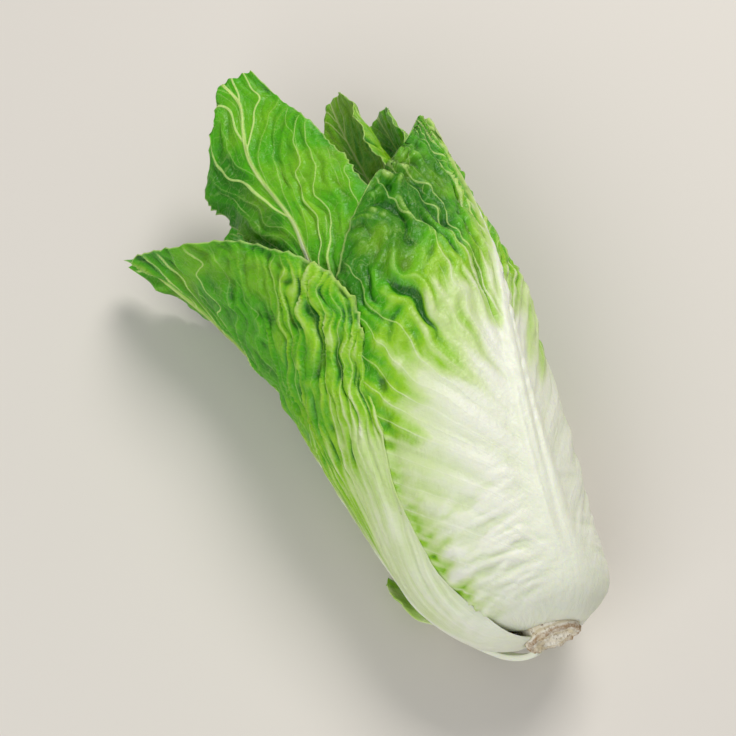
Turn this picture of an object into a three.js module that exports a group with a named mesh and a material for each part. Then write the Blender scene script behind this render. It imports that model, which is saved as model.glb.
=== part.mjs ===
// A cut head of sugarloaf chicory, lying on its side as it rests on a table.
// Millimetres, +Z up. The head's axis runs along +Y, from the cut stem to the leaf tips.
// Every leaf is its own closed solid. The leaves are nested in whorls round the stem core:
// each one lies on a shell at its own depth below the head's outer surface, and turns
// slightly inwards from one margin to the other, so that neighbours overlap like tiles.

import * as THREE from "three";

// ---- Driving dimensions -------------------------------------------------------------

const BODY_RADIUS = 47; // of the head just above its rounded base
const BODY_WIDENING = 15; // added to that radius towards the leaf tips
const WIDENING_START = 20; // distances here are along the axis, from the cut face
const WIDENING_LENGTH = 160;
const BODY_HEIGHT_RATIO = 0.94; // the head is a little flatter than it is wide
const BODY_SHIFT = -7; // sideways offset of the head's middle from the cut stem
const SHIFT_LENGTH = 45; // reached at this distance from the cut face
const BASE_ROUNDING = 27; // length over which a leaf turns from the stem to the head's side
const FLOOR_DEPTH = 47; // the table's push flattens the underside to about this depth
const FLOOR_PLANE = -44.5; // height of the flat underside, below the head's axis
const FLOOR_SHARPNESS = 10; // how sharply the round side turns into the flat underside
const FLOOR_SQUEEZE = 0.9; // spacing of the layers there, against the spacing at the sides

const STEM_RADIUS = 13; // of the cut stem
const CORE_LENGTH = 92; // of the stem core inside the head
const CORE_BLUNTNESS = 0.85; // power of its outline: 0.5 is an ellipse, 1 a parabola
const CUT_BEVEL = 1; // at the rim of the cut face
const STEM_GAP = 1.6; // from the stem core's surface to the middle of a leaf's foot
const FIRST_FOOT = 4.5; // distance of the outermost leaf's foot from the cut face
const FOOT_PITCH = 1.2; // a leaf 1 mm deeper is joined this much further up the stem

const SPIRAL = 1.5; // mm that a leaf sinks inwards per radian from one margin to the other
const TIP_SWEEP = 0.45; // how far the margins fall back from a round tip, in half widths
const FOOT_CROWDING = 0.14; // rows lie closer together at the foot, where the leaf bends most
const BLADE_THICKNESS = 1.3;
const RIB_THICKNESS = 2.6; // at the foot of the midrib
const RIB_HALF_WIDTH = 14; // at the foot of the midrib
const RIB_END = 0.9; // the midrib has fully tapered at this share of the leaf's length
const RIB_END_WIDTH = 0.35; // and has this share of its width left there
const RIB_END_HEIGHT = 0.25; // and this share of its height
const LEAST_WALL = 0.9; // of its thickness that a leaf keeps where it turns up from the table
const HEART_THINNESS = 80; // a leaf this deep in the head would have no thickness left

const CLOSING = 0.55; // share of its radius by which the heart closes over at the top
const CLOSING_OUTSIDE = 0.16; // the same for the outermost leaves
const CLOSING_DEPTH = 14; // leaves from this depth inwards close over fully
const CLOSING_START = 150;
const CLOSING_LENGTH = 165;

const FLARE_START = 165; // the outer leaves begin to bend away from the head here
const FLARE_POWER = 1.3;
const FLARE_DEPTH = 12; // the bend fades out over about this depth
const FLARE_LENGTH = 100;
const FLARE_LEFT = 47; // outward reach at that distance past the start of the bend
const FLARE_LEFT_ANGLE = 200; // degrees round the axis, where 0 is right and 90 is up
const FLARE_RIGHT = 9;
const FLARE_RIGHT_ANGLE = 325;

// ---- Small functions ----------------------------------------------------------------

const radians = THREE.MathUtils.degToRad;

function ramp(x) {
  const t = THREE.MathUtils.clamp(x, 0, 1);
  return t * t * (3 - 2 * t);
}

// A smooth curve through equally spaced values, for t from 0 to 1.
function through(values, t) {
  const last = values.length - 1;
  const x = THREE.MathUtils.clamp(t, 0, 1) * last;
  const i = Math.min(Math.floor(x), last - 1);
  const f = x - i;
  const p1 = values[i];
  const p2 = values[i + 1];
  const p0 = i > 0 ? values[i - 1] : 2 * p1 - p2;
  const p3 = i + 2 <= last ? values[i + 2] : 2 * p2 - p1;
  return (
    p1 +
    0.5 * f * (p2 - p0 + f * (2 * p0 - 5 * p1 + 4 * p2 - p3 + f * (3 * (p1 - p2) + p3 - p0)))
  );
}

// ---- The nested shells ----------------------------------------------------------------

function footHeight(depth) {
  return FIRST_FOOT + FOOT_PITCH * depth;
}

function coreRadius(y) {
  return STEM_RADIUS * Math.max(0, 1 - (y / CORE_LENGTH) ** 2) ** CORE_BLUNTNESS;
}

function sideRadius(y) {
  return BODY_RADIUS + BODY_WIDENING * ramp((y - WIDENING_START) / WIDENING_LENGTH);
}

// How far the shell bends away from the head, most of all low on its left side.
function flareReach(y, theta, depth) {
  const left = Math.max(0, Math.cos(theta - radians(FLARE_LEFT_ANGLE))) ** 2;
  const right = Math.max(0, Math.cos(theta - radians(FLARE_RIGHT_ANGLE))) ** 2;
  const reach = Math.max(0, (y - FLARE_START) / FLARE_LENGTH) ** FLARE_POWER;
  return (FLARE_LEFT * left + FLARE_RIGHT * right) * reach * Math.exp(-depth / FLARE_DEPTH);
}

// Radius of the shell at this depth, at distance y along the axis and angle theta round it.
function shellRadius(y, theta, depth) {
  const foot = footHeight(depth);
  const inside = CLOSING_OUTSIDE + (CLOSING - CLOSING_OUTSIDE) * ramp(depth / CLOSING_DEPTH);
  const closing = inside * ramp((y - CLOSING_START) / CLOSING_LENGTH);
  const start = coreRadius(foot) + STEM_GAP;
  const side = (sideRadius(y) - depth) * (1 - closing) + flareReach(y, theta, depth);
  const rise = Math.sqrt(1 - Math.exp(-Math.max(0, y - foot) / BASE_ROUNDING));
  return start + (side - start) * rise;
}

// The same radius where the table flattens the underside.
function pressedRadius(radius, theta, depth) {
  const down = -Math.sin(theta) * BODY_HEIGHT_RATIO;
  if (down <= 0) return radius;
  const limit = (FLOOR_DEPTH - FLOOR_SQUEEZE * depth) / down;
  return radius * (1 + (radius / limit) ** FLOOR_SHARPNESS) ** (-1 / FLOOR_SHARPNESS);
}

// A point of the head, from its distance along the axis, angle and radius.
function headPoint(y, theta, radius) {
  return new THREE.Vector3(
    BODY_SHIFT * ramp(y / SHIFT_LENGTH) + radius * Math.cos(theta),
    y,
    radius * Math.sin(theta) * BODY_HEIGHT_RATIO,
  );
}

// ---- One leaf -------------------------------------------------------------------------

// Point on the middle surface. u runs from foot to tip, v from -1 to 1 across the blade.
function leafPoint(leaf, u, v) {
  const along = (u * u) / (u + FOOT_CROWDING * (1 - u));
  const middle = radians(through(leaf.angles, along));
  const foot = footHeight(leaf.depth);
  const yMiddle = foot + (leaf.length - foot) * along;

  // Half width of the blade: narrower where the shell itself narrows at the base and tip.
  const ribRadius = shellRadius(yMiddle, middle, leaf.depth);
  const narrowing = Math.min(1, ribRadius / (sideRadius(yMiddle) - leaf.depth));
  const halfWidth = through(v < 0 ? leaf.right : leaf.left, along) * narrowing;
  const turn = (v * halfWidth) / ribRadius;
  const theta = middle + turn;
  const depth = leaf.depth + SPIRAL * turn;

  // Rows near the tip sweep back towards the margins, so that its outline is round.
  const sweep = leaf.round * TIP_SWEEP * halfWidth * along ** 5 * v * v;
  const feet = footHeight(depth) - foot;
  const y = yMiddle - sweep + feet * (1 - along);

  const past = Math.max(0, 2 * along - 1);
  const lift = (v < 0 ? leaf.liftRight : leaf.liftLeft) * (past * v) ** 2;
  const bend = leaf.bend * along ** 2;
  const radius = pressedRadius(shellRadius(y, theta, depth) + lift + bend, theta, depth);
  return headPoint(y, theta, radius);
}

// Thickest along the midrib's foot. Leaves deeper in the head are thinner throughout.
function leafThickness(leaf, u, v) {
  const fade = 1 - ramp(u / RIB_END);
  const width = RIB_HALF_WIDTH * (RIB_END_WIDTH + (1 - RIB_END_WIDTH) * fade);
  const distance = Math.abs(v) * through(v < 0 ? leaf.right : leaf.left, u);
  const rib =
    Math.exp(-((distance / width) ** 2)) * (RIB_END_HEIGHT + (1 - RIB_END_HEIGHT) * fade);
  const young = 1 - Math.max(0, leaf.depth) / HEART_THINNESS;
  return (BLADE_THICKNESS + (RIB_THICKNESS - BLADE_THICKNESS) * rib) * young;
}

// A closed solid: the outer face, the inner face and the rim that joins them.
function leafGeometry(leaf, rows, columns) {
  const stride = columns + 1;
  const count = (rows + 1) * stride;
  const positions = new Float32Array(2 * count * 3);
  const step = 1e-3; // in u and v, for the surface's slopes
  for (let i = 0; i <= rows; i++) {
    for (let j = 0; j <= columns; j++) {
      const u = i / rows;
      const v = (2 * j) / columns - 1;
      const point = leafPoint(leaf, u, v);
      const du = leafPoint(leaf, Math.min(1, u + step), v).sub(
        leafPoint(leaf, Math.max(0, u - step), v),
      );
      const dv = leafPoint(leaf, u, Math.min(1, v + step)).sub(
        leafPoint(leaf, u, Math.max(-1, v - step)),
      );
      const normal = du.cross(dv).normalize();
      const thickness = leafThickness(leaf, u, v);
      const outer = point.clone().addScaledVector(normal, thickness / 2);
      const inner = point.clone().addScaledVector(normal, -thickness / 2);
      if (point.z < FLOOR_PLANE + thickness / 2) {
        outer.set(point.x, point.y, FLOOR_PLANE);
        inner.set(point.x, point.y, FLOOR_PLANE + thickness);
      }
      outer.z = Math.max(outer.z, FLOOR_PLANE);
      inner.z = Math.max(inner.z, FLOOR_PLANE + LEAST_WALL * thickness);
      const at = i * stride + j;
      outer.toArray(positions, at * 3);
      inner.toArray(positions, (count + at) * 3);
    }
  }

  const index = [];
  const quad = (a, b, c, d) => index.push(a, b, c, a, c, d);
  for (let i = 0; i < rows; i++) {
    for (let j = 0; j < columns; j++) {
      const a = i * stride + j;
      const b = a + 1;
      const c = b + stride;
      const d = a + stride;
      quad(a, d, c, b);
      quad(count + a, count + b, count + c, count + d);
    }
  }
  for (let i = 0; i < rows; i++) {
    const right = i * stride;
    const left = right + columns;
    quad(right, count + right, count + right + stride, right + stride);
    quad(left, left + stride, count + left + stride, count + left);
  }
  for (let j = 0; j < columns; j++) {
    const foot = j;
    const tip = rows * stride + j;
    quad(foot, foot + 1, count + foot + 1, count + foot);
    quad(tip + 1, tip, count + tip, count + tip + 1);
  }

  const geometry = new THREE.BufferGeometry();
  geometry.setAttribute("position", new THREE.BufferAttribute(positions, 3));
  geometry.setIndex(index);
  geometry.computeVertexNormals();
  return geometry;
}

// ---- The leaves -------------------------------------------------------------------------

// angles: degrees round the axis of the leaf's midrib, evenly spaced from its foot to its tip,
// where 0 is the head's right side, 90 its top and 180 its left.
// left and right: half widths of the blade in mm, evenly spaced from its foot to its tip.
// round: 1 for a leaf whose end is rounded. liftLeft and liftRight: how far the margins stand
// out from the head near the tip. bend: how far the whole tip does.

const PLAIN_LEAF = { round: 1, liftLeft: 0, liftRight: 0, bend: 0 };

const WRAPPER_LEAVES = [
  {
    ...PLAIN_LEAF,
    name: "wrapper_leaf_left",
    depth: 0,
    angles: [202, 199, 193],
    length: 268,
    left: [44, 46, 48, 46, 40, 32, 20, 3],
    right: [48, 48, 55, 75, 90, 90, 64, 3],
    round: 0,
    liftLeft: 8,
    liftRight: 8,
  },
  {
    ...PLAIN_LEAF,
    name: "wrapper_leaf_front",
    depth: 0,
    angles: [62, 58, 48, 28, 14],
    length: 272,
    left: [76, 84, 88, 92, 92, 88, 70, 22],
    right: [40, 42, 45, 45, 42, 37, 28, 8],
  },
  {
    ...PLAIN_LEAF,
    name: "wrapper_leaf_right",
    depth: 0,
    angles: [312, 316, 322],
    length: 258,
    left: [52, 54, 58, 60, 60, 56, 46, 20],
    right: [44, 45, 47, 48, 48, 44, 36, 16],
  },
  {
    ...PLAIN_LEAF,
    name: "torn_leaf_stub",
    depth: -3,
    angles: [240, 234, 228],
    length: 66,
    left: [5, 5, 5, 5, 7, 12, 16, 8],
    right: [5, 5, 5, 5, 7, 10, 14, 6],
    round: 0.4,
    bend: 12,
  },
  {
    ...PLAIN_LEAF,
    name: "crown_leaf_left",
    depth: 5.2,
    angles: [124, 128, 124],
    length: 317,
    left: [44, 44, 45, 42, 38, 30, 41, 16],
    right: [44, 44, 46, 48, 46, 42, 31, 6],
  },
  {
    ...PLAIN_LEAF,
    name: "crown_leaf_under",
    depth: 5.2,
    angles: [246, 244, 238],
    length: 290,
    left: [50, 52, 55, 58, 58, 56, 46, 18],
    right: [50, 52, 55, 58, 58, 56, 46, 18],
  },
  {
    ...PLAIN_LEAF,
    name: "crown_leaf_right",
    depth: 5.2,
    angles: [8, 0, -28],
    length: 307,
    left: [46, 48, 50, 54, 58, 60, 48, 16],
    right: [46, 47, 47, 47, 47, 50, 60, 42],
  },
  {
    ...PLAIN_LEAF,
    name: "mouth_leaf_under",
    depth: 10.4,
    angles: [300, 315, 316],
    length: 324,
    left: [40, 42, 44, 46, 56, 68, 66, 18],
    right: [40, 42, 44, 46, 46, 44, 38, 8],
    round: 0.4,
  },
  {
    ...PLAIN_LEAF,
    name: "mouth_leaf_left",
    depth: 10.4,
    angles: [182, 178, 174],
    length: 262,
    left: [42, 44, 46, 48, 48, 46, 38, 18],
    right: [42, 44, 46, 48, 48, 46, 38, 18],
  },
  {
    ...PLAIN_LEAF,
    name: "mouth_leaf_top",
    depth: 10.4,
    angles: [66, 62, 60],
    length: 228,
    left: [42, 44, 46, 48, 48, 46, 38, 18],
    right: [42, 44, 46, 48, 48, 46, 38, 18],
  },
];

// The heart: whorls of ever smaller leaves round the growing point.
const HEART_WHORLS = 5;
const HEART_LEAVES_PER_WHORL = 3;
const HEART_FIRST_DEPTH = 15.6;
const HEART_DEPTH_STEP = 5;
const HEART_TURN = 61; // each whorl is turned by about half the angle between its leaves
const HEART_FIRST_LENGTH = 244;
const HEART_LENGTH_STEP = 17;
const HEART_LENGTH_STAGGER = 6; // from one leaf of a whorl to the next
const HEART_FIRST_ANGLE = 8;
const HEART_TIP_TURN = -2; // degrees that the midrib turns by halfway up, and again at the tip
const HEART_SPREAD = 1.24; // half width of a leaf, in radii of its shell
const HEART_OUTLINE = [1, 1, 1, 1, 1, 0.94, 0.74, 0.4]; // shares of that, from foot to tip

function heartLeaves() {
  const leaves = [];
  for (let whorl = 0; whorl < HEART_WHORLS; whorl++) {
    const depth = HEART_FIRST_DEPTH + HEART_DEPTH_STEP * whorl;
    for (let i = 0; i < HEART_LEAVES_PER_WHORL; i++) {
      const angle = HEART_FIRST_ANGLE + HEART_TURN * whorl + (360 / HEART_LEAVES_PER_WHORL) * i;
      const length = HEART_FIRST_LENGTH - HEART_LENGTH_STEP * whorl - HEART_LENGTH_STAGGER * i;
      const halfWidths = HEART_OUTLINE.map((share, k) => {
        const y = (length * k) / (HEART_OUTLINE.length - 1);
        return share * HEART_SPREAD * (sideRadius(y) - depth);
      });
      leaves.push({
        ...PLAIN_LEAF,
        name: "heart_leaf_" + String(leaves.length + 1).padStart(2, "0"),
        depth,
        angles: [angle, angle + HEART_TIP_TURN, angle + 2 * HEART_TIP_TURN],
        length,
        left: halfWidths,
        right: halfWidths,
      });
    }
  }
  return leaves;
}

// ---- The stem core ------------------------------------------------------------------------

// The stem is cut off flat below the leaves and runs up inside the head to the growing point.
function stemGeometry() {
  const points = [new THREE.Vector2(0, 0), new THREE.Vector2(STEM_RADIUS - CUT_BEVEL, 0)];
  for (let i = 0; i < CORE_ROWS; i++) {
    const share = Math.sin(((i / CORE_ROWS) * Math.PI) / 2);
    const y = CUT_BEVEL + (CORE_LENGTH - CUT_BEVEL) * share;
    points.push(new THREE.Vector2(coreRadius(y), y));
  }
  points.push(new THREE.Vector2(0, CORE_LENGTH));
  const geometry = new THREE.LatheGeometry(points, CORE_SIDES);
  const position = geometry.getAttribute("position");
  for (let i = 0; i < position.count; i++) {
    const x = position.getX(i);
    const z = position.getZ(i);
    const moved = headPoint(position.getY(i), Math.atan2(z, x), Math.hypot(x, z));
    position.setXYZ(i, moved.x, moved.y, moved.z);
  }
  geometry.computeVertexNormals();
  return geometry;
}

// ---- Materials ------------------------------------------------------------------------------

const green = new THREE.MeshStandardMaterial({ color: 0x6fae3c, roughness: 0.5 });
const paleGreen = new THREE.MeshStandardMaterial({ color: 0xb9d07a, roughness: 0.5 });
const yellow = new THREE.MeshStandardMaterial({ color: 0xdfe2a4, roughness: 0.5 });
const stem = new THREE.MeshStandardMaterial({ color: 0xd9cfae, roughness: 0.8 });

// ---- The head -------------------------------------------------------------------------------

const WRAPPER_ROWS = 18;
const WRAPPER_COLUMNS = 12;
const HEART_ROWS = 10;
const HEART_COLUMNS = 8;
const CORE_ROWS = 12;
const CORE_SIDES = 20;

function addPiece(group, name, geometry, material) {
  const mesh = new THREE.Mesh(geometry, material);
  mesh.name = name;
  group.add(mesh);
}

function buildHead() {
  const head = new THREE.Group();
  addPiece(head, "stem_core", stemGeometry(), stem);
  for (const leaf of WRAPPER_LEAVES) {
    const material = leaf.depth < 9 ? green : paleGreen;
    addPiece(head, leaf.name, leafGeometry(leaf, WRAPPER_ROWS, WRAPPER_COLUMNS), material);
  }
  for (const leaf of heartLeaves()) {
    addPiece(head, leaf.name, leafGeometry(leaf, HEART_ROWS, HEART_COLUMNS), yellow);
  }
  return head;
}

// The part's origin is on the table, below the middle of the head's bounding box.
const head = buildHead();
const box = new THREE.Box3().setFromObject(head, true);
head.position.set(-(box.min.x + box.max.x) / 2, -(box.min.y + box.max.y) / 2, -box.min.z);

const chicory = new THREE.Group();
chicory.add(head);

export default chicory;
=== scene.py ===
"""A head of sugarloaf chicory lying on a pale surface.

Every leaf is a closed skin of its own, made by the same nested shells as its CAD solid, with
the ribs, winding veins, folds and toothed margins that the solid leaves out. Leaf shapes are
worked out in millimetres and written to Blender in metres.
"""

import math

import bpy
import numpy as np
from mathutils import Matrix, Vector


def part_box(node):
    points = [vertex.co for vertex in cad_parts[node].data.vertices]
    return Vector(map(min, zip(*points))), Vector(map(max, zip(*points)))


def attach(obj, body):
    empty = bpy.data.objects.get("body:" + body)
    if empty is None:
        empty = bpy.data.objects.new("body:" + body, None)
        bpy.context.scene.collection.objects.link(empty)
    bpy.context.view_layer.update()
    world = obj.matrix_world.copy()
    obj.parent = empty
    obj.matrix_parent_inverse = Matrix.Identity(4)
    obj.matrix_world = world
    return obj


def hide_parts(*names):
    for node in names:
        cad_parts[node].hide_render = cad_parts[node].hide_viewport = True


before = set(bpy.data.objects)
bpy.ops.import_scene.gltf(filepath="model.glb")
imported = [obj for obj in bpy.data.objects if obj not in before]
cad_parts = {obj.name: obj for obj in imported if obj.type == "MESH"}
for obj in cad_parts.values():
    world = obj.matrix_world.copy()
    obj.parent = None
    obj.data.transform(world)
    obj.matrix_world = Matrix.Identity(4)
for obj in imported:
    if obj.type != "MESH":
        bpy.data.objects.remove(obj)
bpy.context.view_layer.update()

MM = 0.001  # metres in a millimetre

# ---- The head's dimensions, as the CAD has them (mm) ----

BODY_RADIUS = 47.0
BODY_WIDENING = 15.0
WIDENING_START = 20.0
WIDENING_LENGTH = 160.0
BODY_HEIGHT_RATIO = 0.94
BODY_SHIFT = -7.0
SHIFT_LENGTH = 45.0
BASE_ROUNDING = 27.0
FLOOR_DEPTH = 47.0  # from the axis down to where the outermost shell would be pressed flat
FLOOR_PLANE = -44.5  # the surface that the head lies on
FLOOR_SHARPNESS = 10.0  # how suddenly a shell turns flat there
FLOOR_SQUEEZE = 0.9  # how much of their depth the inner shells keep there

STEM_RADIUS = 13.0
CORE_LENGTH = 92.0
CORE_BLUNTNESS = 0.85
STEM_GAP = 1.6
FIRST_FOOT = 4.5
FOOT_PITCH = 1.2

SPIRAL = 1.5
TIP_SWEEP = 0.45
BLADE_THICKNESS = 1.3
RIB_THICKNESS = 2.6
RIB_HALF_WIDTH = 14.0
HEART_THINNESS = 80.0

CLOSING = 0.55
CLOSING_OUTSIDE = 0.16
CLOSING_DEPTH = 14.0
CLOSING_START = 150.0
CLOSING_LENGTH = 165.0

FLARE_START = 165.0
FLARE_POWER = 1.3
FLARE_DEPTH = 12.0
FLARE_LENGTH = 100.0
FLARE_LEFT = 47.0
FLARE_LEFT_ANGLE = 200
FLARE_RIGHT = 9.0
FLARE_RIGHT_ANGLE = 325

# ---- Numbers and noise ----


def ramp(x):
    """0 below 0, 1 above 1, and smooth between."""
    t = np.clip(x, 0.0, 1.0)
    return t * t * (3.0 - 2.0 * t)


def through(values, t):
    """A smooth curve through equally spaced values, for t from 0 to 1."""
    p = np.asarray(values, float)
    last = len(p) - 1
    p = np.concatenate([[2 * p[0] - p[1]], p, [2 * p[-1] - p[-2]]])
    x = np.clip(t, 0.0, 1.0) * last
    i = np.minimum(x.astype(int), last - 1)
    f = x - i
    p0, p1, p2, p3 = p[i], p[i + 1], p[i + 2], p[i + 3]
    bend = p2 - p0 + f * (2 * p0 - 5 * p1 + 4 * p2 - p3 + f * (3 * (p1 - p2) + p3 - p0))
    return p1 + 0.5 * f * bend


def scatter(i, j, seed):
    """A repeatable random number from 0 to 1 for each pair of whole numbers."""
    n = i.astype(np.int64) * 374761393 + j.astype(np.int64) * 668265263 + seed * 974634777
    n = n & 0xFFFFFFFF
    n = ((n ^ (n >> 13)) * 1274126177) & 0xFFFFFFFF
    n = ((n ^ (n >> 16)) * 2246822519) & 0xFFFFFFFF
    return ((n ^ (n >> 15)) & 0xFFFFFF) / float(0xFFFFFF)


def noise(x, y, seed):
    """Smooth gradient noise from about -1 to 1, with features about one unit wide."""
    i, j = np.floor(x), np.floor(y)
    fx, fy = x - i, y - j
    total = np.zeros(np.broadcast(x, y).shape)
    wx = fx**3 * (fx * (fx * 6 - 15) + 10)
    wy = fy**3 * (fy * (fy * 6 - 15) + 10)
    for di in (0, 1):
        for dj in (0, 1):
            angle = 2 * math.pi * scatter(i + di, j + dj, seed)
            slope = np.cos(angle) * (fx - di) + np.sin(angle) * (fy - dj)
            total += slope * (wx if di else 1 - wx) * (wy if dj else 1 - wy)
    return 1.5 * total


def rough(x, y, seed, octaves):
    """Several layers of noise, each half as wide and half as strong as the one before."""
    total = 0.0
    for k in range(octaves):
        total = total + noise(x * 2**k, y * 2**k, seed + 17 * k) / 2**k
    return total


def crests(x, y, seed):
    """From about -1 in broad hollows to 1 along sharp, winding crests."""
    return 1 - 2.6 * np.abs(noise(x, y, seed))


def blurred(values, radius_rows, radius_columns):
    """The average over a rectangle round each grid point."""
    for axis, radius in ((0, radius_rows), (1, radius_columns)):
        radius = int(max(1, radius))
        pad = [(0, 0), (0, 0)]
        pad[axis] = (radius + 1, radius)
        total = np.cumsum(np.pad(values, pad, mode="edge"), axis=axis)
        high = np.take(total, range(2 * radius + 1, total.shape[axis]), axis=axis)
        low = np.take(total, range(0, total.shape[axis] - 2 * radius - 1), axis=axis)
        values = (high - low) / (2 * radius + 1)
    return values


# ---- The nested shells, as the CAD has them ----


def foot_height(depth):
    return FIRST_FOOT + FOOT_PITCH * depth


def core_radius(y):
    return STEM_RADIUS * np.maximum(0.0, 1 - (y / CORE_LENGTH) ** 2) ** CORE_BLUNTNESS


def side_radius(y):
    return BODY_RADIUS + BODY_WIDENING * ramp((y - WIDENING_START) / WIDENING_LENGTH)


def flare_reach(y, theta, depth):
    left = np.maximum(0.0, np.cos(theta - math.radians(FLARE_LEFT_ANGLE))) ** 2
    right = np.maximum(0.0, np.cos(theta - math.radians(FLARE_RIGHT_ANGLE))) ** 2
    reach = np.maximum(0.0, (y - FLARE_START) / FLARE_LENGTH) ** FLARE_POWER
    return (FLARE_LEFT * left + FLARE_RIGHT * right) * reach * np.exp(-depth / FLARE_DEPTH)


def shell_radius(y, theta, depth):
    foot = foot_height(depth)
    inside = CLOSING_OUTSIDE + (CLOSING - CLOSING_OUTSIDE) * ramp(depth / CLOSING_DEPTH)
    closing = inside * ramp((y - CLOSING_START) / CLOSING_LENGTH)
    start = core_radius(foot) + STEM_GAP
    side = (side_radius(y) - depth) * (1 - closing) + flare_reach(y, theta, depth)
    rise = np.sqrt(1 - np.exp(-np.maximum(0.0, y - foot) / BASE_ROUNDING))
    return start + (side - start) * rise


def pressed_radius(radius, theta, depth):
    down = np.maximum(-np.sin(theta) * BODY_HEIGHT_RATIO, 1e-3)
    limit = (FLOOR_DEPTH - FLOOR_SQUEEZE * depth) / down
    return radius * (1 + (radius / limit) ** FLOOR_SHARPNESS) ** (-1 / FLOOR_SHARPNESS)


def head_point(y, theta, radius):
    x = BODY_SHIFT * ramp(y / SHIFT_LENGTH) + radius * np.cos(theta)
    return np.stack([x, y + 0 * x, radius * np.sin(theta) * BODY_HEIGHT_RATIO], -1)


# Where the head's axis starts, the middle of the cut face, in the part's frame.
stem_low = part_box("stem_core")[0]
stem_points = np.array([v.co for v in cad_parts["stem_core"].data.vertices])
cut_rim = stem_points[stem_points[:, 1] < stem_low.y + 0.0005]
cut_x = (cut_rim[:, 0].min() + cut_rim[:, 0].max()) / 2
HEAD_START = np.array([cut_x, stem_low.y, -FLOOR_PLANE * MM])


# ---- The leaves ----

# Lengths in mm, from the leaf's foot or from its midrib.
# depth: how far inside the outermost shell the leaf lies. length: where it ends along the head.
# angles: of its midrib round the head from foot to tip, in degrees, where 0 is the head's
# right side and 90 its top. left, right: half widths from foot to tip.
# round: how rounded the tip is. lift_left, lift_right: how far its margins stand off near the
# tip. bend: how far its end stands off the shell. rows, columns: of its grid.
# green_from, green_to: where the blade starts to turn green, and where it is fully green.
# green_slope: how much lower that is for each mm away from the midrib.
# least_green: greenness of the foot. side_green: of the low blade out to the sides of the
# midrib. greenest: of the top.
# rib_spacing, vein_spacing: between side veins at the foot and near the tip.
# rise: how steeply the side veins rise out in the blade, in its lower and its upper part.
# rise_span: where the one turns into the other. hug: how much steeper beside the midrib.
# winding: how far the veins wander. main_veins: share of them that are strong and pale.
# crumple_from: where the blade stops being smooth. hollows: how far it sinks between veins.
# folds: height of its pleats and of the crests that cross them. fold_count: pleats for each
# side vein. puckers: how much finer crests add to them.
# broad: height of its wide waves. ruffle: of the waves along its margins. teeth: of the teeth.
# vein_height, midrib: how far they stand out on its back. midrib_width: 1 is a wide midrib.
# least_relief: how far the skin may sink below the smooth shell.
# margin_press: how far its right margin sinks onto the leaf that it covers.
# midrib_path: how far left of its middle line the midrib lies, from the foot to the tip.
# wrinkles: height of the short creases at the foot, left of the midrib.
# smooth_foot: height over which the skin's relief grows from nothing at the foot.
# young_side: how much less green the blade is towards its right margin.
# painted_shade_side: painted shade, how much deeper its green is on the left, where the head
# opens and lies in shade.
PLAIN = {
    "round": 1.0, "lift_left": 0.0, "lift_right": 0.0, "bend": 0.0,
    "rows": 96, "columns": 64,
    "green_from": 120.0, "green_to": 210.0, "green_slope": 0.9,
    "least_green": 0.0, "side_green": 0.15, "greenest": 1.0,
    "rib_spacing": 6.0, "vein_spacing": 18.0, "rise": (0.45, 1.6), "rise_span": (100, 190),
    "hug": 2.2, "winding": 1.0, "main_veins": 0.4, "crumple_from": 120.0,
    "hollows": 0.8, "folds": 0.7, "fold_count": 0.5, "puckers": 0.12, "broad": 1.0,
    "ruffle": 2.0, "teeth": 1.1, "vein_height": 0.5, "midrib": 1.0, "midrib_width": 1.0,
    "least_relief": -1.6, "margin_press": 0.0, "young_side": 0.0, "painted_shade_side": 0.0,
    "midrib_path": [0, 0], "wrinkles": 0.6, "smooth_foot": 22.0,
}

# Half widths of leaves whose two sides are alike.
UNDER_OUTLINE = [50, 52, 55, 58, 58, 56, 46, 18]
HIDDEN_OUTLINE = [42, 44, 46, 48, 48, 46, 38, 18]

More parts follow.
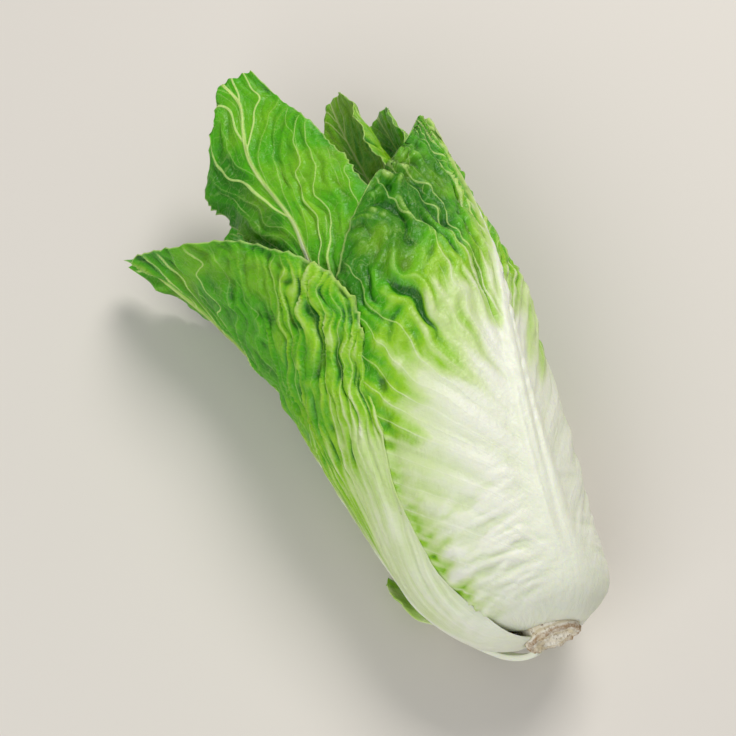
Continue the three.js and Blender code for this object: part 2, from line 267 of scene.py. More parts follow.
LEAVES = [
    dict(PLAIN, name="wrapper_leaf_left", slot="outer_leaf", seed=11, depth=0.0,
         angles=[202, 199, 193], length=268,
         left=[44, 46, 48, 46, 40, 32, 20, 3], right=[48, 48, 55, 75, 90, 90, 64, 3],
         round=0.0, lift_left=8.0, lift_right=8.0, rows=270, columns=168,
         green_from=58.0, green_to=178.0, green_slope=0.25, least_green=0.17,
         rib_spacing=7.0, vein_spacing=22.0, hug=1.3, rise=(2.0, 1.3), main_veins=0.5,
         crumple_from=92.0, hollows=0.7, folds=1.15, fold_count=0.55, puckers=0.2, broad=2.2,
         ruffle=2.6, teeth=2.2, margin_press=2.8, least_relief=-0.9, young_side=0.42,
         smooth_foot=12.0),
    dict(PLAIN, name="wrapper_leaf_front", slot="outer_leaf", seed=23, depth=0.0,
         angles=[62, 58, 48, 28, 14], length=272,
         left=[76, 84, 88, 92, 92, 88, 70, 22], right=[40, 42, 45, 45, 42, 37, 28, 8],
         rows=270, columns=168, green_from=118.0, green_to=255.0, green_slope=1.1,
         rib_spacing=5.0, vein_spacing=13.0, rise=(0.75, 2.2), rise_span=(70, 190),
         winding=0.75, main_veins=0.5, crumple_from=118.0, hollows=0.7, folds=1.5,
         fold_count=0.62, puckers=0.15, broad=1.6, wrinkles=1.1, smooth_foot=9.0, teeth=0.5,
         midrib=2.3, vein_height=0.4, side_green=0.2, painted_shade_side=0.55),
    dict(PLAIN, name="wrapper_leaf_right", slot="outer_leaf", seed=37, depth=0.0,
         angles=[312, 316, 322], length=258,
         left=[52, 54, 58, 60, 60, 56, 46, 20], right=[44, 45, 47, 48, 48, 44, 36, 16],
         rows=150, columns=96, green_from=110.0, green_to=200.0, least_relief=-0.8),
    dict(PLAIN, name="torn_leaf_stub", slot="outer_leaf", seed=41, depth=-3.0,
         angles=[240, 234, 228], length=66,
         left=[5, 5, 5, 5, 7, 12, 16, 8], right=[5, 5, 5, 5, 7, 10, 14, 6],
         round=0.4, bend=12.0, rows=70, columns=50, green_from=18.0, green_to=80.0,
         greenest=0.34, crumple_from=20.0, hollows=0.6, ruffle=2.8, teeth=5.0,
         least_relief=-0.5),
    dict(PLAIN, name="crown_leaf_left", slot="outer_leaf", seed=53, depth=5.2,
         angles=[124, 128, 124], length=317,
         left=[44, 44, 45, 42, 38, 30, 41, 16], right=[44, 44, 46, 48, 46, 42, 31, 6],
         rows=240, columns=116, green_from=60.0, green_to=180.0, least_green=0.1,
         greenest=0.86, rib_spacing=12.0, vein_spacing=28.0, hug=1.5, rise=(2.2, 3.2),
         main_veins=0.55, winding=0.7, crumple_from=150.0, hollows=0.5, folds=0.5, broad=1.7,
         ruffle=2.8, teeth=2.4, vein_height=0.4, midrib=0.6, midrib_width=0.45,
         midrib_path=[0] * 14 + [1, 5, 9, 11, 9, 6, 9], painted_shade_side=0.9),
    dict(PLAIN, name="crown_leaf_under", slot="outer_leaf", seed=67, depth=5.2,
         angles=[246, 244, 238], length=290,
         left=UNDER_OUTLINE, right=UNDER_OUTLINE,
         rows=150, columns=96, green_from=90.0, green_to=190.0, teeth=1.6),
    dict(PLAIN, name="crown_leaf_right", slot="outer_leaf", seed=71, depth=5.2,
         angles=[8, 0, -28], length=307,
         left=[46, 48, 50, 54, 58, 60, 48, 16], right=[46, 47, 47, 47, 47, 50, 60, 42],
         rows=150, columns=90, green_from=90.0, green_to=180.0, greenest=0.74,
         teeth=1.5, midrib=0.5, midrib_width=0.4),
    dict(PLAIN, name="mouth_leaf_under", slot="inner_leaf", seed=83, depth=10.4,
         angles=[300, 315, 316], length=324,
         left=[40, 42, 44, 46, 56, 68, 66, 18], right=[40, 42, 44, 46, 46, 44, 38, 8],
         round=0.4, rows=190, columns=92, green_from=100.0, green_to=220.0, greenest=0.7,
         rib_spacing=6.0, vein_spacing=14.0, rise=(1.1, 1.5), crumple_from=180.0,
         hollows=0.7, folds=0.4, ruffle=2.5, teeth=1.4, midrib=0.5, midrib_width=0.4),
    dict(PLAIN, name="mouth_leaf_left", slot="inner_leaf", seed=97, depth=10.4,
         angles=[182, 178, 174], length=262,
         left=HIDDEN_OUTLINE, right=HIDDEN_OUTLINE, rows=104, green_to=240.0),
    dict(PLAIN, name="mouth_leaf_top", slot="inner_leaf", seed=101, depth=10.4,
         angles=[66, 62, 60], length=228,
         left=HIDDEN_OUTLINE, right=HIDDEN_OUTLINE, green_to=240.0),
]

HEART_WHORLS = 5
HEART_LEAVES_PER_WHORL = 3
HEART_FIRST_DEPTH = 15.6
HEART_DEPTH_STEP = 5.0
HEART_TURN = 61
HEART_FIRST_LENGTH = 244
HEART_LENGTH_STEP = 17
HEART_LENGTH_STAGGER = 6
HEART_FIRST_ANGLE = 8
HEART_TIP_TURN = -2
HEART_SPREAD = 1.24
HEART_OUTLINE = [1, 1, 1, 1, 1, 0.94, 0.74, 0.4]


def heart_leaves():
    """The heart's whorls of ever smaller and paler leaves."""
    made = []
    for whorl in range(HEART_WHORLS):
        depth = HEART_FIRST_DEPTH + HEART_DEPTH_STEP * whorl
        for i in range(HEART_LEAVES_PER_WHORL):
            angle = HEART_FIRST_ANGLE + HEART_TURN * whorl + 360 / HEART_LEAVES_PER_WHORL * i
            length = HEART_FIRST_LENGTH - HEART_LENGTH_STEP * whorl - HEART_LENGTH_STAGGER * i
            y = np.linspace(0, length, len(HEART_OUTLINE))
            widths = np.array(HEART_OUTLINE) * HEART_SPREAD * (side_radius(y) - depth)
            made.append(dict(
                PLAIN, name=f"heart_leaf_{len(made) + 1:02d}", slot="heart_leaf",
                seed=211 + 13 * len(made), depth=depth,
                angles=[angle, angle + HEART_TIP_TURN, angle + 2 * HEART_TIP_TURN],
                length=length, left=widths, right=widths, rows=60, columns=36,
                green_from=0.4 * length, green_to=1.0 * length, greenest=0.62 - 0.05 * whorl,
                hollows=0.4, folds=0.45, broad=0.6, ruffle=1.8, teeth=0.8))
    return made


# ---- A leaf's skin ----

# Lengths in mm.
FOOT_CROWDING = 0.08  # how much closer together the grid's rows lie at the foot
TOOTH_SPACING = 6.2  # along the margin
TOOTHED_SHARE = 0.88  # share of the half width where the teeth start
HUG_WIDTH = 15.0  # from the midrib, over which the side veins straighten
BRANCH_STEEPNESS = 2.3  # how much steeper branches rise than the side veins
SMOOTHING = 5.0  # radius over which the skin's own height is averaged
VEIN_WIDTH = 1.3  # of a raised vein
FAR_AWAY = 99.0  # where no leaf lies over this one
PRESSED_THICKNESS = 0.4  # of a leaf pressed on the table
FOOT_CLOSING = 0.8  # share of the gap to the stem that the feet close
BARE_FOOT = 3 / 22  # share of a leaf's smooth_foot that has no relief at all
WAY_SCALE = 40.0  # the way along a vein is stored in units of this length
BAKE_EDGE = 0.01  # in shares of the bake's square, as are the next two
BAKE_WIDTH = 0.47
BAKE_INNER_START = 0.51


def slopes(values, s, t):
    """How fast a field changes per mm along and across the blade, where rows run along it."""
    along = np.gradient(values, axis=0) / np.maximum(np.gradient(s, axis=0), 1e-3)
    across = np.gradient(values, axis=1) / np.maximum(np.gradient(t, axis=1), 1e-3)
    return along, across


def surface_normals(points):
    du = np.gradient(points, axis=0)
    dv = np.gradient(points, axis=1)
    n = np.cross(du, dv)
    return n / np.maximum(np.linalg.norm(n, axis=-1, keepdims=True), 1e-9)


class Blade:
    """The grid of one leaf: its coordinates, its smooth middle surface and its fields."""

    def __init__(self, leaf, cover=None):
        self.leaf = leaf
        seed = leaf["seed"]
        u = np.linspace(0, 1, leaf["rows"] + 1)[:, None]
        v = np.linspace(-1, 1, leaf["columns"] + 1)[None, :]
        self.v = v + 0 * u
        along = u * u / (u + FOOT_CROWDING * (1 - u))
        self.along = along + 0 * v
        middle = np.radians(through(leaf["angles"], along))
        foot = foot_height(leaf["depth"])
        y_middle = foot + (leaf["length"] - foot) * along
        rib_radius = shell_radius(y_middle, middle, leaf["depth"])
        narrowing = np.minimum(1.0, rib_radius / (side_radius(y_middle) - leaf["depth"]))
        widths = np.where(v < 0, through(leaf["right"], along), through(leaf["left"], along))
        half = widths * narrowing

        # Teeth push the margin outwards between their notches.
        side = np.where(v < 0, -1.0, 1.0)
        run = y_middle / TOOTH_SPACING + 1.4 * noise(y_middle / 23, 3.0 * side, seed + 5)
        size = 0.35 + 0.65 * scatter(np.floor(run), side, seed + 7)
        tooth = size * (run - np.floor(run)) ** 1.8
        tooth = tooth + 0.8 * noise(y_middle / 15, side * 7.7, seed + 6)
        outermost = ramp((np.abs(v) - TOOTHED_SHARE) / (1 - TOOTHED_SHARE))
        margin = outermost * ramp((along - 0.4) / 0.2) * ramp(half / 25)
        half = half + leaf["teeth"] * tooth * margin

        sweep = leaf["round"] * TIP_SWEEP * half * along**5 * v * v

        # The grid's middle column follows the midrib, and the margins stay where they are.
        off = through(leaf["midrib_path"], along)
        half = half - off * side
        turn = (off + v * half) / rib_radius
        self.theta = middle + turn
        self.depth = leaf["depth"] + SPIRAL * turn
        feet = foot_height(self.depth) - foot
        y = y_middle - sweep + feet * (1 - along)
        tip_run = v * half / TOOTH_SPACING
        tip_tooth = 2 * np.abs(tip_run - np.round(tip_run)) * ramp(np.abs(v) * 5)
        y = y + leaf["teeth"] * 0.8 * tip_tooth * ramp((along - 0.97) / 0.03)
        self.y = y
        self.s = y_middle - foot + 0 * v
        self.t = v * half
        self.side = side + 0 * u
        past = np.maximum(0.0, 2 * along - 1)
        lift = np.where(v < 0, leaf["lift_right"], leaf["lift_left"]) * (past * v) ** 2
        bend = leaf["bend"] * along**2
        self.reach = shell_radius(y, self.theta, self.depth) + lift + bend
        # The foot spreads out from the stem before it climbs, and this counts both.
        self.climb = self.s + self.reach - self.reach[:1]
        self.covered, self.beside = self.measure_cover(cover)
        self.make_veins()
        self.make_relief()

    def noise(self, length, width, number):
        """Noise over the blade, with features this long and wide in mm."""
        return noise(self.s / length, self.t / width, self.leaf["seed"] + number)

    def vein_noise(self, count, length, number):
        """Noise that follows the side veins: features for each vein, and their length in mm."""
        return noise(self.phase * count, self.way / length, self.leaf["seed"] + number)

    def vein_crests(self, count, length, number):
        return crests(self.phase * count, self.way / length, self.leaf["seed"] + number)

    def measure_cover(self, cover):
        """Where a leaf that lies over this one hides it, and how near its margin is in mm."""
        if cover is None:
            return 0 * self.s, np.full_like(self.s, FAR_AWAY)
        y, theta = cover
        beyond = (np.interp(self.y, y, theta) - self.theta) * self.reach
        return ramp((2.0 - beyond) / 6.0), beyond

    def vein_field(self, number, steeper):
        """Side veins as whole numbers of a smooth field, and the way along them in mm."""
        leaf, s, t = self.leaf, self.s, self.t
        wild = leaf["winding"] * (0.12 + 0.88 * ramp((s - 70) / 110))
        wander = 7 * self.noise(34, 26, number + 1) + 3.6 * self.noise(13, 11, number + 2)
        shift = 6 * self.noise(30, 30, number + 3) + 3.2 * self.noise(12, 10, number + 4)
        out = np.sqrt((t + wild * shift * ramp(np.abs(t) / 12)) ** 2 + 1.0)
        # A vein climbs by rise(s) for each mm outwards, and by hug times that at the midrib.
        low, high = leaf["rise"]
        span_from, span_to = leaf["rise_span"]
        height = np.linspace(-200.0, leaf["length"] + 60.0, 900)
        rise = steeper * (low + (high - low) * ramp((height - span_from) / (span_to - span_from)))
        run = np.cumsum(1 / rise) * (height[1] - height[0])
        outward = out + (leaf["hug"] - 1) * HUG_WIDTH * (1 - np.exp(-out / HUG_WIDTH))
        start = np.interp(np.interp(s + wild * wander, height, run) - outward, run, height)
        grow = (leaf["vein_spacing"] - leaf["rib_spacing"]) / leaf["length"]
        wide = np.maximum(0.05, 1 + grow * (np.maximum(start, -60.0) + 20) / leaf["rib_spacing"])
        phase = np.log(wide) / grow + 0.37 * self.side
        return phase, np.hypot(out, np.maximum(0.0, s - start))

    def vein_gap(self, phase):
        """Distance between neighbouring veins, in mm."""
        return 1.0 / np.maximum(np.hypot(*slopes(phase, self.s, self.t)), 0.02)

    def make_veins(self):
        self.phase, self.way = self.vein_field(20, 1.0)
        self.gap = self.vein_gap(self.phase)
        self.branch_phase, self.branch_way = self.vein_field(120, BRANCH_STEEPNESS)
        self.branch_gap = self.vein_gap(self.branch_phase)

    def make_relief(self):
        """How far the skin stands off the smooth shell (mm), and the raised ribs of its back."""
        leaf, s, t = self.leaf, self.s, self.t
        self.vein_distance = np.abs(self.phase - np.round(self.phase)) * self.gap
        self.crumpled = ramp((s + 0.35 * np.abs(t) - leaf["crumple_from"]) / 55)
        # The blade is smooth beside its midrib, more widely so near the foot.
        smooth_half = 5 + 9 * (1 - ramp((s - 40) / 90))
        self.free = 1 - 0.88 * np.exp(-((t / smooth_half) ** 2))

        relief = self.crumples() + self.soft_ribs() + self.foot_wrinkles() + self.ruffles()
        relief = relief + self.puckers_beside_cover()
        lowest = leaf["least_relief"]
        relief = np.where(relief < lowest, lowest + 0.25 * (relief - lowest), relief)
        relief = relief * (1 - 0.8 * self.covered) + 0.3 * self.covered
        # A margin that lies on a neighbour is pressed against it.
        pressed = ramp((-self.v - 0.72) / 0.28) * (1 - ramp((s - 130) / 60))
        self.relief = relief - leaf["margin_press"] * pressed

        per_row = s[-1, 0] / leaf["rows"]
        per_column = (t[len(t) // 2, -1] - t[len(t) // 2, 0]) / leaf["columns"]
        smooth = blurred(self.relief, SMOOTHING / per_row, SMOOTHING / per_column)
        self.height = self.relief - smooth
        self.make_raised_ribs()

    def crumples(self):
        """Hollows between the veins, pleats along them, crests that cross them and wide waves."""
        leaf, s, t, seed = self.leaf, self.s, self.t, self.leaf["seed"]
        # The hollows are deepest in short cells along each strip.
        strip = np.clip(2 * self.vein_distance / self.gap, 0, 1)
        cell = ramp(0.4 + 1.6 * self.vein_noise(0.8, 13, 41))
        sunk = np.sin(0.5 * math.pi * strip) * (0.15 + 0.85 * cell)
        # The pleats are deep in some places and faint in others.
        bent = 1.2 * self.noise(36, 30, 55)
        deep = ramp(0.5 + 1.2 * noise(self.phase * 0.3 + bent, self.way / 60, seed + 56))
        pleat = crests(self.phase * leaf["fold_count"] + 0.6 * bent, self.way / 60, seed + 51)
        fold = (0.4 + 0.8 * deep) * pleat
        fold = fold + (0.6 - 0.4 * deep) * crests(s / 32 + bent, t / 21, seed + 52)
        fold = fold + leaf["puckers"] * self.vein_crests(1.1, 12, 53)
        wave = (0.25 + 0.75 * self.crumpled) * leaf["broad"] * rough(s / 48, t / 36, seed + 54, 2)
        crumple = 1.7 * leaf["folds"] * fold - 1.6 * leaf["hollows"] * sunk
        return self.free * (self.crumpled * crumple + wave)

    def soft_ribs(self):
        """The uneven, almost straight ribs of the lower blade."""
        ribbed = (1 - 0.7 * self.crumpled) * ramp((self.s - 6) / 26) * self.free
        rib = 0.55 * self.vein_noise(0.75, 60, 57) + 0.2 * self.vein_noise(1.7, 45, 58)
        return ribbed * (rib + 0.3 * self.vein_crests(0.4, 70, 60))

    def foot_wrinkles(self):
        """Small creases where the leaf turns up from the stem, mostly left of the midrib."""
        climb, t, seed = self.climb, self.t, self.leaf["seed"]
        wrinkled = ramp((climb - 6) / 16) * (1 - ramp((climb - 60) / 60)) * self.free
        wrinkled = wrinkled * (0.3 + 0.7 * ramp((t + 5) / 30))
        wrinkled = wrinkled * (0.3 + 0.8 * ramp(0.5 + noise(climb / 22, t / 18, seed + 76)))
        wrinkle = crests(climb / 9 + t / 40, t / 24, seed + 59) + 0.3
        wrinkle = wrinkle + 0.4 * crests(climb / 4.5 + t / 50, t / 15, seed + 69)
        return self.leaf["wrinkles"] * wrinkled * wrinkle

    def ruffles(self):
        """The waves of the margins."""
        s, side, seed = self.s, self.side, self.leaf["seed"]
        edge = np.abs(self.v) ** 4 * ramp((self.along - 0.3) / 0.35)
        wave = np.sin(s / 5.2 + 2.2 * noise(s / 30, side * 4.0, seed + 61) + side)
        return self.leaf["ruffle"] * edge * (0.45 * wave + self.noise(17, 40, 62))

    def puckers_beside_cover(self):
        """Beside a margin that lies on it the blade is thin, puckered and greener."""
        strip = np.exp(-((self.beside - 3.0) / 5.0) ** 2) * ramp((self.climb - 20) / 25)
        strip = strip * (1 - ramp((self.s - 120) / 40))
        scallop = self.noise(6, 12, 65) + 0.8 * self.noise(13, 9, 66)
        streaks = 0.6 + 0.5 * self.noise(5, 24, 67) + 0.4 * self.noise(16, 30, 68)
        beyond = np.maximum(0.0, self.beside)
        reaching = np.exp(-beyond / 16.0) + 0.6 * np.exp(-beyond / 4.0)
        reaching = reaching * ramp((self.climb - 12) / 35)
        self.thin_strip = np.clip(reaching * streaks, 0.0, 0.8)
        return strip * (0.9 * scallop - 0.5)

    def make_raised_ribs(self):
        """The veins and the midrib that stand out on the back of the leaf."""
        leaf, s = self.leaf, self.s
        vein = np.exp(-((self.vein_distance / VEIN_WIDTH) ** 2))
        vein = vein * (1 - ramp((np.abs(self.v) - 0.8) / 0.2)) * ramp((s - 60) / 50)
        taper = 1 - ramp(s / (0.95 * leaf["length"]))
        rib_half = leaf["midrib_width"] * (1.3 + 8.0 * taper**1.5)
        self.midrib_mask = 1 / (1 + (np.abs(self.t) / rib_half) ** 8)
        ridges = 0.25 * noise(self.t / 2.4, s / 90, leaf["seed"] + 63)
        ridges = 1 + ridges + 0.15 * noise(self.t / 4.0, s / 25, leaf["seed"] + 64)
        rib = leaf["midrib"] * self.midrib_mask * ramp(s / 45) * ridges
        self.raised = leaf["vein_height"] * vein + rib

    def greenness(self):
        """0 where the blade is white, 1 where it is fully green."""
        leaf, s = self.leaf, self.s
        out = np.abs(self.t)
        streaks = 30 * self.vein_noise(0.25, 80, 71) + 22 * self.vein_noise(0.7, 50, 72)
        reach = s + streaks + 12 * self.noise(24, 20, 73)
        reach = reach + leaf["green_slope"] * np.minimum(out, 70.0)
        green = ramp((reach - leaf["green_from"]) / (leaf["green_to"] - leaf["green_from"]))
        beside_rib = ramp((out - 12) / 55) * ramp((s - 10) / 60)
        green = np.maximum(green, leaf["side_green"] * beside_rib)
        green = np.maximum(green, 0.46 * self.thin_strip)
        green = leaf["least_green"] * ramp((s + 10) / 40) + (1 - leaf["least_green"]) * green
        young = ramp((-self.v - 0.25) / 0.6) * (1 - ramp((s - 170) / 70))
        young = young * (0.75 + 0.6 * self.noise(22, 16, 74))
        green = green * (1 - leaf["young_side"] * young)
        # Painted shade: on the left, about three quarters of the way up, the green is pushed up
        # to full and past it, for the shade where the head opens.
        shaded_opening = np.exp(-(((s - 0.75 * leaf["length"]) / 34) ** 2)) * ramp((self.v - 0.05) / 0.4)
        painted_shade = leaf["painted_shade_side"] * shaded_opening * (0.85 + 0.7 * self.noise(22, 18, 75))
        green = green + np.maximum(0.0, painted_shade)
        white_rib = self.midrib_mask * (1 - 0.3 * ramp((s - 190) / 90))
        return leaf["greenest"] * green * (1 - 0.9 * white_rib)


def leaf_thickness(leaf, blade):
    fade = 1 - ramp(blade.along / 0.9)
    width = RIB_HALF_WIDTH * (0.35 + 0.65 * fade)
    rib = np.exp(-((blade.t / width) ** 2)) * (0.25 + 0.75 * fade)
    young = 1 - max(0.0, leaf["depth"]) / HEART_THINNESS
    edge = 1 - 0.65 * ramp((np.abs(blade.v) - 0.9) / 0.1)
    edge = edge * (1 - 0.65 * ramp((blade.along - 0.98) / 0.02))
    return (BLADE_THICKNESS + (RIB_THICKNESS - BLADE_THICKNESS) * rib) * young * edge


def closed_mesh(name, outer, inner):
    """A closed skin over two grids of points: outer face, inner face and a thin rim."""
    rows, stride = outer.shape[:2]
    count = rows * stride
    grid = np.arange(count).reshape(rows, stride)
    a, b, c, d = grid[:-1, :-1], grid[:-1, 1:], grid[1:, 1:], grid[1:, :-1]
    outer_faces = np.stack([a, d, c, b], -1).reshape(-1, 4)
    inner_faces = np.stack([a, b, c, d], -1).reshape(-1, 4) + count

    def rim(line, flip):
        quads = np.stack([line[:-1], line[:-1] + count, line[1:] + count, line[1:]], -1)
        return quads[:, ::-1] if flip else quads

    sides = [rim(grid[:, 0], False), rim(grid[:, -1], True)]
    ends = [rim(grid[0], True), rim(grid[-1], False)]
    faces = np.concatenate([outer_faces, inner_faces, *sides, *ends])
    points = np.concatenate([outer.reshape(-1, 3), inner.reshape(-1, 3)]) * MM + HEAD_START
    return faces_mesh(name, points, faces), faces


def faces_mesh(name, points, faces):
    mesh = bpy.data.meshes.new(name)
    mesh.vertices.add(len(points))
    mesh.vertices.foreach_set("co", points.astype(np.float32).ravel())
    mesh.loops.add(faces.size)
    mesh.loops.foreach_set("vertex_index", faces.astype(np.int32).ravel())
    mesh.polygons.add(len(faces))
    starts = np.arange(0, faces.size, faces.shape[1], dtype=np.int32)
    mesh.polygons.foreach_set("loop_start", starts)
    mesh.polygons.foreach_set("use_smooth", np.ones(len(faces), bool))
    mesh.update(calc_edges=True)
    return mesh


def add_numbers(mesh, name, values):
    """Stores one number for each point of a mesh."""
    field = mesh.attributes.new(name, "FLOAT", "POINT")
    field.data.foreach_set("value", np.asarray(values, np.float32).ravel())


def both_faces(values):
    """The same values for a leaf's outer and inner face."""
    return np.concatenate([values, values])


def add_bake_map(mesh, faces, blade):
    """The outer face fills one half of the square, and the inner face the other."""
    across = BAKE_EDGE + BAKE_WIDTH * (0.5 + 0.5 * blade.v)
    lengthways = BAKE_EDGE + (1 - 2 * BAKE_EDGE) * blade.s / blade.s.max()
    outer = np.stack([across, lengthways], -1).reshape(-1, 2)
    places = np.concatenate([outer, outer + [BAKE_INNER_START, 0.0]])[faces.ravel()]
    layer = mesh.uv_layers.new(name="OFBake")
    layer.data.foreach_set("uv", places.astype(np.float32).ravel())


def add_leaf_fields(mesh, leaf, blade, height):
    """Stores what colours the leaf at each of its points."""

    def add_triples(name, x, y, z):
        field = mesh.attributes.new(name, "FLOAT_VECTOR", "POINT")
        triples = both_faces(np.stack([x, y, z], -1))
        field.data.foreach_set("vector", triples.astype(np.float32).ravel())

    # Each leaf, and each side of it, has its own part of every random pattern.
    leaf_number = np.full_like(blade.s, leaf["seed"] * 3.1)
    side_number = leaf_number + 9 * blade.side
    share = np.full_like(blade.s, leaf["main_veins"])
    add_numbers(mesh, "green", both_faces(blade.greenness()))
    add_numbers(mesh, "midrib", both_faces(blade.midrib_mask))
    add_numbers(mesh, "height", np.stack([height, -height]))
    add_numbers(mesh, "branch_gap", both_faces(blade.branch_gap))
    add_triples("leaf_mm", blade.t, blade.s, leaf_number)
    add_triples("vein_way", blade.phase, blade.way / WAY_SCALE, side_number)
    add_triples("vein_size", blade.gap, share, np.abs(blade.v))
    add_triples("branch_way", blade.branch_phase, blade.branch_way / WAY_SCALE, side_number)


def leaf_mesh(leaf, cover):
    """A leaf's closed skin, with the fields that colour it."""
    blade = Blade(leaf, cover)
    # At the very foot the leaf closes up to its stem.
    reach = blade.reach - FOOT_CLOSING * STEM_GAP * (1 - ramp(blade.s / 9))
    smooth = head_point(blade.y, blade.theta, pressed_radius(reach, blade.theta, blade.depth))
    normal = surface_normals(smooth)
    # The relief fades where the leaf is pressed on the table or meets the stem.
    clear = ramp((smooth[..., 2] - FLOOR_PLANE - 1.0) / 6.0)
    clear = clear * ramp(blade.s / leaf["smooth_foot"] - BARE_FOOT)
    middle = smooth + normal * (blade.relief * clear)[..., None]
    normal = surface_normals(middle)
    thick = leaf_thickness(leaf, blade)
    outer = middle + normal * (0.5 * thick + blade.raised * clear)[..., None]
    inner = middle - normal * (0.5 * thick)[..., None]
    outer[..., 2] = np.maximum(outer[..., 2], FLOOR_PLANE)
    inner[..., 2] = np.maximum(inner[..., 2], FLOOR_PLANE + PRESSED_THICKNESS)
    mesh, faces = closed_mesh(leaf["name"], outer, inner)
    add_bake_map(mesh, faces, blade)
    add_leaf_fields(mesh, leaf, blade, blade.height * clear)
    return mesh


def margin_of(leaf):
    """The right margin of a leaf that lies over its neighbour: angle against height."""
    blade = Blade(dict(leaf, rows=120, columns=24))
    y, theta = blade.y[:, 0], blade.theta[:, 0]
    order = np.argsort(y)
    return y[order], theta[order]


# ---- The cut stem ----

STEM_SIDES = 96
CUT_RINGS = 26
SIDE_RINGS = 40
CUT_DEPTH = 1.7  # mm that the cut face is torn up and down
CUT_HOLLOW = 0.9  # mm that its middle lies deeper than its edge
CUT_BEVEL = 1.0  # mm from the cut face's edge out to the stem's side
BEVEL_END = 0.9  # mm up the stem
SIDE_START = 1.2
ROUGH_SIDE = 25  # mm of the side above the cut that are rough
INNER_END_RADIUS = 0.15


def stem_mesh():
    """The stem core: a torn, slightly hollow cut face and a smooth inner end."""
    angle = np.linspace(0, 2 * math.pi, STEM_SIDES, endpoint=False)
    right, up = np.cos(angle), np.sin(angle)
    share = np.linspace(0.0, 1.0, CUT_RINGS + 1)[1:, None]
    wave = 0.4 * noise(right * 1.6 + 5, up * 1.6 + 5, 301)
    wave = wave + 0.5 * noise(right * 5 + 5, up * 5 + 5, 302)
    face_radius = share * (STEM_RADIUS - CUT_BEVEL + wave)
    x, z = face_radius * right, face_radius * up
    torn = 0.6 * rough(x / 5.0 + 9, z / 5.0 + 9, 303, 4) + 0.5 * noise(x / 1.5, z / 1.5, 304)
    face_y = CUT_DEPTH * torn * (1 - 0.35 * share**4) + CUT_HOLLOW * (1 - share**2) - 0.2
    along = np.sin(0.5 * math.pi * np.linspace(0, 1, SIDE_RINGS + 1))[1:, None]
    side_y = SIDE_START + (CORE_LENGTH - SIDE_START) * along + 0 * angle
    bumps = 0.3 * noise(side_y / 4.0, 3 * right, 305) * (side_y < ROUGH_SIDE)
    side_width = core_radius(side_y) + bumps
    side_width[-1] = INNER_END_RADIUS
    y = np.concatenate([face_y, np.full((1, STEM_SIDES), BEVEL_END), side_y])
    radius = np.concatenate([face_radius, STEM_RADIUS + wave[None], side_width])
    points = head_point(y, angle[None, :] + 0 * y, radius).reshape(-1, 3)
    middles = head_point(np.array([0.7, CORE_LENGTH]), np.zeros(2), np.zeros(2))
    points = np.concatenate([points, middles]) * MM + HEAD_START

    grid = np.arange(len(y) * STEM_SIDES).reshape(len(y), STEM_SIDES)
    grid = np.concatenate([grid, grid[:, :1]], 1)
    a, b, c, d = grid[:-1, :-1], grid[:-1, 1:], grid[1:, 1:], grid[1:, :-1]
    sides = [np.stack(corners, -1).reshape(-1, 3) for corners in ([a, c, b], [a, d, c])]
    first = np.stack([grid[0, :-1], grid[0, 1:], np.full(STEM_SIDES, len(points) - 2)], -1)
    last = np.stack([grid[-1, 1:], grid[-1, :-1], np.full(STEM_SIDES, len(points) - 1)], -1)
    mesh = faces_mesh("stem_core", points, np.concatenate([*sides, first, last]))
    # 0 in the middle of the cut face, 1 at its edge, and less again up the hidden side.
    side_share = np.maximum(0.5, 1 - 0.1 * side_y)
    from_centre = np.concatenate([share + 0 * angle, np.ones((1, STEM_SIDES)), side_share])
    add_numbers(mesh, "from_centre", np.append(from_centre.ravel(), [0.0, 0.5]))
    return mesh


# ---- Materials ----


